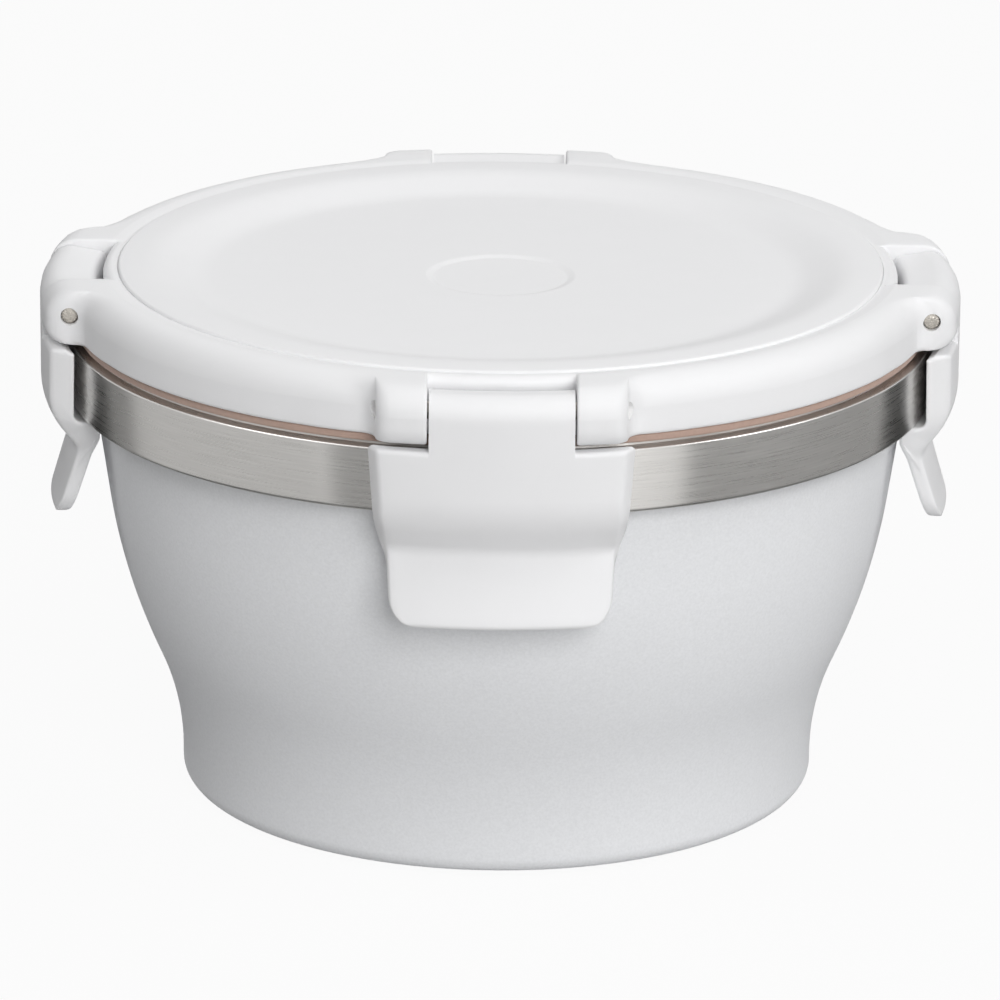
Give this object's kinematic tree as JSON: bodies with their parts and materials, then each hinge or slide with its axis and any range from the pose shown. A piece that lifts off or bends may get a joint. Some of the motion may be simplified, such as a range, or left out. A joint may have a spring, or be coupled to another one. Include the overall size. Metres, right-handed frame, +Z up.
{
  "type": "lidded bowl",
  "caption": "Round double-walled steel bowl with a flared coated wall and a bare rim band, closed by a dished plastic lid that hinged side latches hold down on a gasket.",
  "frame": {"origin": "on the table under the bowl's axis", "axes": "+Z up along the bowl's axis, the front latch towards -Y, the right latch towards +X"},
  "size_m": [0.16, 0.16, 0.0934],
  "materials": {
    "powder_coat": "matte off-white powder coat on steel",
    "band_steel": "bare stainless steel, brushed round the bowl",
    "liner_steel": "satin stainless steel",
    "base_steel": "satin stainless steel",
    "seal_glass": "sealing glass",
    "getter_metal": "dull sintered metal",
    "white_plastic": "smooth satin white polypropylene",
    "silicone": "matte taupe silicone",
    "pin_steel": "bright drawn steel with a splined end"
  },
  "bodies": {
    "bowl": {"outer_shell": "powder_coat", "inner_liner": "liner_steel", "base_plate": "base_steel", "vacuum_seal_bead": "seal_glass", "getter_disc": "getter_metal", "rim_band": "band_steel"},
    "lid": {"lid_frame": "white_plastic", "lid_panel": "white_plastic", "lid_gasket": "silicone", "hinge_pin_front": "pin_steel", "hinge_pin_right": "pin_steel", "hinge_pin_back": "pin_steel", "hinge_pin_left": "pin_steel"},
    "front_latch": {"latch_front": "white_plastic"},
    "right_latch": {"latch_right": "white_plastic"},
    "back_latch": {"latch_back": "white_plastic"},
    "left_latch": {"latch_left": "white_plastic"}
  },
  "joints": [
    {"name": "lid_lift", "type": "slide", "parent": "bowl", "child": "lid", "axis": [0, 0, 1], "range_m": [0, 0.06]},
    {"name": "front_latch_hinge", "type": "hinge", "parent": "lid", "child": "front_latch", "pos_m": [0, -0.07387, 0.0889], "axis": [-1, 0, 0], "range_deg": [-3, 115]},
    {"name": "right_latch_hinge", "type": "hinge", "parent": "lid", "child": "right_latch", "pos_m": [0.07387, 0, 0.0889], "axis": [0, -1, 0], "range_deg": [-3, 115]},
    {"name": "back_latch_hinge", "type": "hinge", "parent": "lid", "child": "back_latch", "pos_m": [0, 0.07387, 0.0889], "axis": [1, 0, 0], "range_deg": [-3, 115]},
    {"name": "left_latch_hinge", "type": "hinge", "parent": "lid", "child": "left_latch", "pos_m": [-0.07387, 0, 0.0889], "axis": [0, 1, 0], "range_deg": [-3, 115]}
  ]
}
